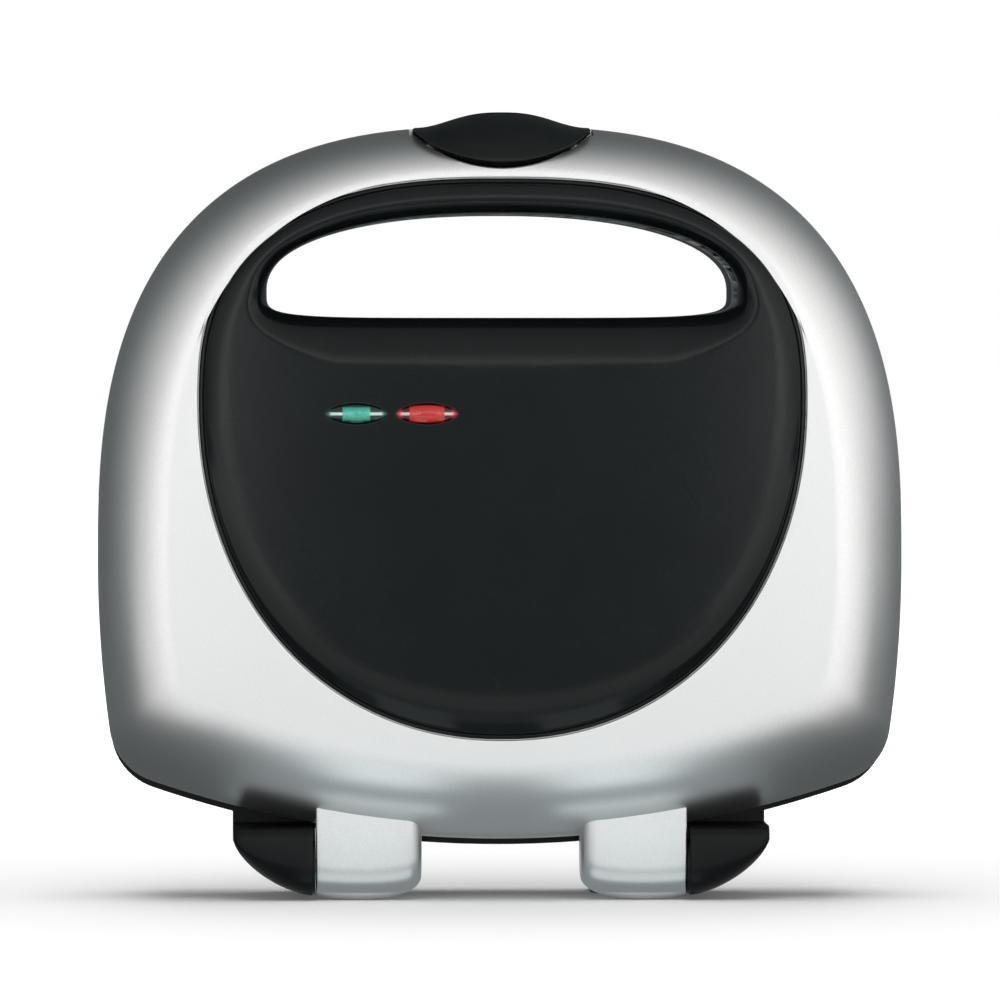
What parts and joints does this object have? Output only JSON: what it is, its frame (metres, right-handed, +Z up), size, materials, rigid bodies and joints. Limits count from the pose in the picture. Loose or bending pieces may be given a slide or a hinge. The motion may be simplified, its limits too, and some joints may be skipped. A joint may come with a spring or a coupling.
{
  "type": "sandwich maker",
  "caption": "Electric sandwich maker on end, with a hinged silver lid over two cooking plates, a black panel with a finger opening and a rocking latch.",
  "frame": {"origin": "middle of the bounding box's bottom, on the floor that the machine stands on", "axes": "+X across the machine to the viewer's right, +Y from the lid to the base, +Z up"},
  "size_m": [0.26, 0.0972, 0.2542],
  "materials": {
    "silver_paint": "satin metallic paint",
    "black_gloss_plastic": "smooth semi-gloss",
    "black_satin_plastic": "satin",
    "nonstick_coating": "dark non-stick coating",
    "steel_sheet": "plain sheet",
    "steel": "plain",
    "ceramic": "matt ceramic",
    "rubber": "matt",
    "lamp_glass": "clear",
    "green_lens": "clear tinted",
    "red_lens": "clear tinted"
  },
  "bodies": {
    "base": {"base_shell": "black_satin_plastic", "base_bezel": "black_satin_plastic", "lower_plate": "nonstick_coating", "lower_reflector": "steel_sheet", "lower_element": "steel", "cord_gland": "rubber", "cord_clamp": "black_satin_plastic", "terminal_block": "ceramic", "thermostat": "ceramic", "thermal_fuse": "steel", "base_screw_1": "steel", "base_screw_2": "steel", "base_screw_3": "steel", "base_screw_4": "steel", "lower_plate_screw_1": "steel", "lower_plate_screw_2": "steel", "foot_1": "rubber", "foot_2": "rubber", "foot_3": "rubber", "foot_4": "rubber", "clamp_screw_left": "steel", "clamp_screw_right": "steel", "hinge_pin_left": "steel", "hinge_pin_right": "steel"},
    "lid": {"lid_shell": "silver_paint", "lid_panel": "black_gloss_plastic", "lid_bezel": "black_satin_plastic", "upper_plate": "nonstick_coating", "upper_reflector": "steel_sheet", "upper_element": "steel", "ready_lens": "green_lens", "power_lens": "red_lens", "ready_lamp": "lamp_glass", "power_lamp": "lamp_glass", "lamp_holder": "black_satin_plastic", "latch_pin": "steel", "lid_screw_1": "steel", "lid_screw_2": "steel", "lid_screw_3": "steel", "lid_screw_4": "steel", "upper_plate_screw_1": "steel", "upper_plate_screw_2": "steel"},
    "latch": {"latch": "black_satin_plastic"}
  },
  "joints": [
    {"name": "lid_hinge", "type": "hinge", "parent": "base", "child": "lid", "pos_m": [0, -0.025, 0.011], "axis": [1, 0, 0], "range_deg": [0, 98]},
    {"name": "latch_pivot", "type": "hinge", "parent": "lid", "child": "latch", "pos_m": [0, -0.034, 0.2425], "axis": [1, 0, 0], "range_deg": [-4.5, 5]}
  ]
}
